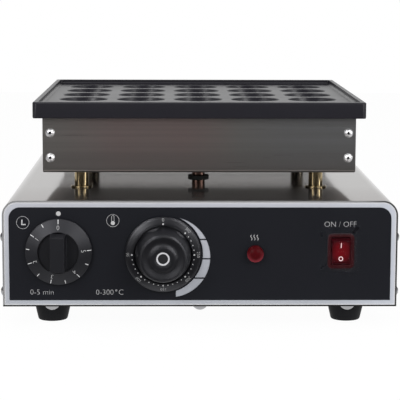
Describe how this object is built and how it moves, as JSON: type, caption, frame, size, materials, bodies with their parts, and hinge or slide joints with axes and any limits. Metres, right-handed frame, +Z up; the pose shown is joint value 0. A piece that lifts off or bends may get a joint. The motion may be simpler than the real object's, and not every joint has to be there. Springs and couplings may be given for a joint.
{
  "type": "mini pancake maker",
  "caption": "Countertop mini pancake maker: a cast pan with a grid of round pits over a heater box, carried on brass posts above a steel housing with timer, thermostat and switch.",
  "frame": {"origin": "on the floor under the middle of the overall box", "axes": "+Z up, the control face looks towards -Y, +X to the right seen from the front"},
  "size_m": [0.3352, 0.4242, 0.1855],
  "materials": {
    "pan_coating": "cast aluminium under a satin black non-stick coating",
    "stainless_sheet": "bright brushed stainless sheet",
    "stainless_dark": "brushed stainless sheet, darkened",
    "base_sheet": "plain steel sheet",
    "screw_steel": "bright zinc plate",
    "post_brass": "turned brass",
    "conduit_copper": "brown copper tube",
    "black_rubber": "matte black rubber",
    "face_silver": "satin silver",
    "film_black": "black printed film",
    "knob_black": "moulded black plastic",
    "disc_aluminium": "turned aluminium",
    "lamp_red": "clear red plastic",
    "boot_clear": "clear soft plastic",
    "switch_black": "black plastic",
    "rocker_red": "clear red plastic",
    "mechanism_plastic": "cream moulded plastic",
    "shaft_steel": "steel",
    "heater_sheath": "heat-stained steel sheath",
    "sensor_copper": "copper",
    "reflector": "bright sheet",
    "insulation": "mineral fibre blanket",
    "lead_sleeve": "glass-fibre sleeve",
    "wire_sleeve": "wire insulation"
  },
  "bodies": {
    "appliance": {"griddle_plate": "pan_coating", "heater_box_tray": "stainless_dark", "heater_box_front": "stainless_dark", "heater_box_rear": "stainless_dark", "heater_box_screws": "screw_steel", "support_posts": "post_brass", "post_washers": "post_brass", "wire_conduit": "conduit_copper", "conduit_grommet": "black_rubber", "housing_shell": "stainless_sheet", "front_panel": "stainless_sheet", "face_plate": "face_silver", "legend_film": "film_black", "indicator_lens": "lamp_red", "switch_boot": "boot_clear", "switch_housing": "switch_black", "base_plate": "base_sheet", "base_screws": "screw_steel", "side_screws": "screw_steel", "rubber_feet": "black_rubber", "timer_body": "mechanism_plastic", "thermostat_body": "mechanism_plastic", "control_screws": "screw_steel", "capillary_tube": "sensor_copper", "sensor_bulb": "sensor_copper", "bulb_clip": "shaft_steel", "clip_screws": "screw_steel", "heating_element": "heater_sheath", "element_terminals": "post_brass", "element_clamps": "shaft_steel", "clamp_bolts": "screw_steel", "reflector_plate": "reflector", "insulation_pad": "insulation", "heater_leads": "lead_sleeve", "tie_studs": "shaft_steel", "tie_nuts": "screw_steel", "tie_washers": "screw_steel", "indicator_body": "mechanism_plastic", "control_terminals": "post_brass", "terminal_block": "mechanism_plastic", "control_leads": "wire_sleeve", "rear_panel": "stainless_sheet", "cable_gland": "switch_black", "gland_nut": "switch_black", "foot_screws": "screw_steel", "foot_nuts": "screw_steel"},
    "timer_dial": {"timer_knob": "knob_black", "timer_shaft": "shaft_steel"},
    "temperature_dial": {"temperature_knob": "knob_black", "knob_disc": "disc_aluminium", "thermostat_shaft": "shaft_steel"},
    "power_rocker": {"switch_rocker": "rocker_red"}
  },
  "joints": [
    {"name": "timer_turn", "type": "hinge", "parent": "appliance", "child": "timer_dial", "pos_m": [-0.118, -0.19815, 0.0649], "axis": [0, 1, 0], "range_deg": [0, 275]},
    {"name": "temperature_turn", "type": "hinge", "parent": "appliance", "child": "temperature_dial", "pos_m": [-0.031, -0.19815, 0.0627], "axis": [0, 1, 0], "range_deg": [0, 315]},
    {"name": "rocker_tilt", "type": "hinge", "parent": "appliance", "child": "power_rocker", "pos_m": [0.1175, -0.18565, 0.0653], "axis": [-1, 0, 0], "range_deg": [0, 18]}
  ]
}
